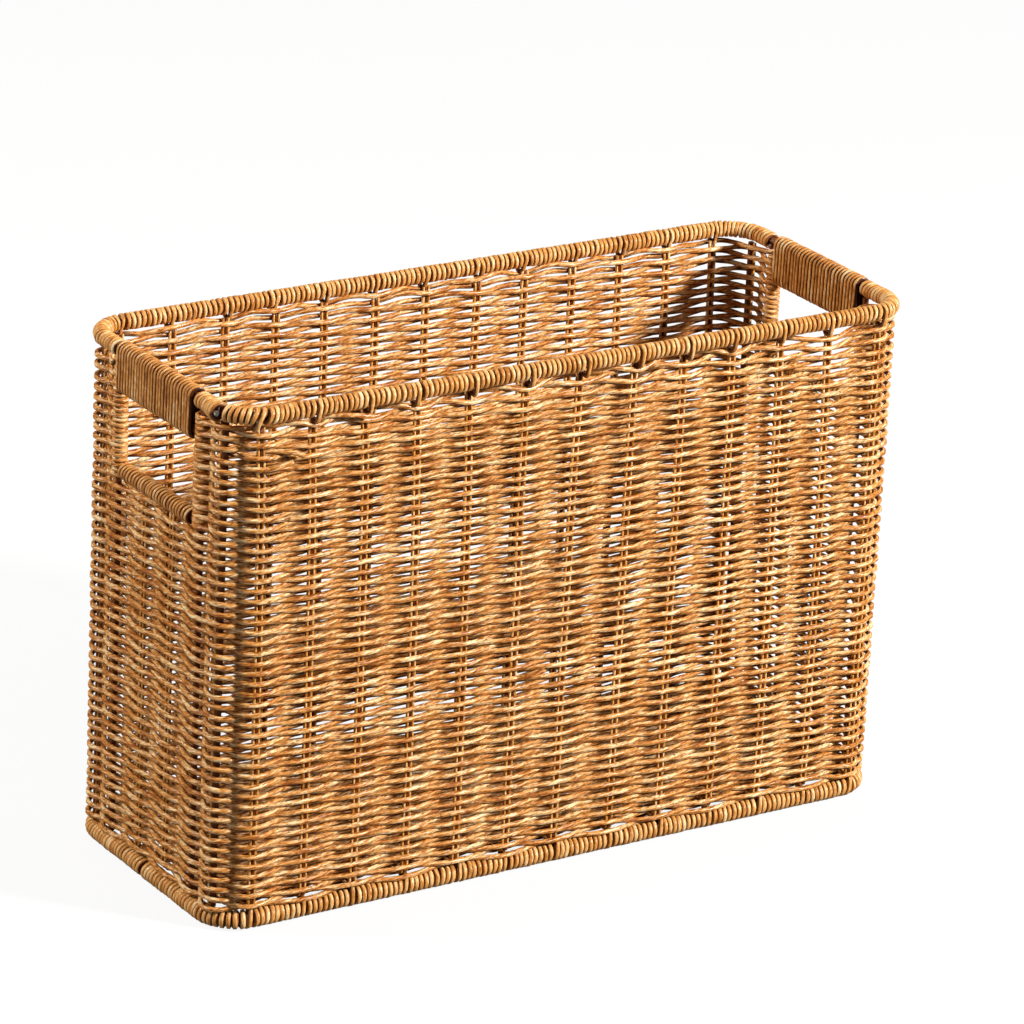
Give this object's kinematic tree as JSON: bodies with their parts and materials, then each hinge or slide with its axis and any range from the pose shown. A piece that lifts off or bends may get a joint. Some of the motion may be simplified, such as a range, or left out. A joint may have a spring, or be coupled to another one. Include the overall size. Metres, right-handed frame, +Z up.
{
  "type": "magazine basket",
  "caption": "Upright rectangular magazine basket woven from glossy golden-brown strand, with a wound rim and base and a hand hole under a wound grip in each short end.",
  "frame": {"origin": "middle of the underside, on the plane the base winding stands on", "axes": "+X along the length, +Y across the width away from the front, +Z up"},
  "size_m": [0.38, 0.15, 0.26],
  "materials": {
    "weave": "imitation rattan strand, fibre-streaked, satin gloss",
    "wrap": "imitation rattan strand, smooth and glossy, tightly wound",
    "stake": "thin imitation rattan strand, darker, satin",
    "frame_steel": "drawn steel wire"
  },
  "bodies": {
    "root": {"rim_wire": "frame_steel", "base_wire": "frame_steel", "front_weave": "weave", "left_end_weave": "weave", "front_rim_wrap": "wrap", "front_base_wrap": "wrap", "left_grip_wrap": "wrap", "left_sill_wrap": "wrap", "left_grip_bar": "frame_steel", "left_sill_bar": "frame_steel", "front_left_corner_weave": "weave", "front_left_corner_post": "frame_steel", "front_right_corner_weave": "weave", "front_right_corner_post": "frame_steel", "left_front_handle_post": "frame_steel", "left_front_jamb_wrap": "wrap", "left_front_end_stake": "stake", "left_back_handle_post": "frame_steel", "left_back_jamb_wrap": "wrap", "left_back_end_stake": "stake", "back_weave": "weave", "right_end_weave": "weave", "back_rim_wrap": "wrap", "back_base_wrap": "wrap", "right_grip_wrap": "wrap", "right_sill_wrap": "wrap", "right_grip_bar": "frame_steel", "right_sill_bar": "frame_steel", "back_right_corner_weave": "weave", "back_right_corner_post": "frame_steel", "back_left_corner_weave": "weave", "back_left_corner_post": "frame_steel", "right_back_handle_post": "frame_steel", "right_back_jamb_wrap": "wrap", "right_back_end_stake": "stake", "right_front_handle_post": "frame_steel", "right_front_jamb_wrap": "wrap", "right_front_end_stake": "stake", "cross_stake_1": "stake", "cross_stake_2": "stake", "cross_stake_3": "stake", "cross_stake_4": "stake", "cross_stake_5": "stake", "cross_stake_6": "stake", "cross_stake_7": "stake", "cross_stake_8": "stake", "cross_stake_9": "stake", "cross_stake_10": "stake", "cross_stake_11": "stake", "cross_stake_12": "stake", "cross_stake_13": "stake", "bottom_weave": "weave"}
  },
  "joints": []
}
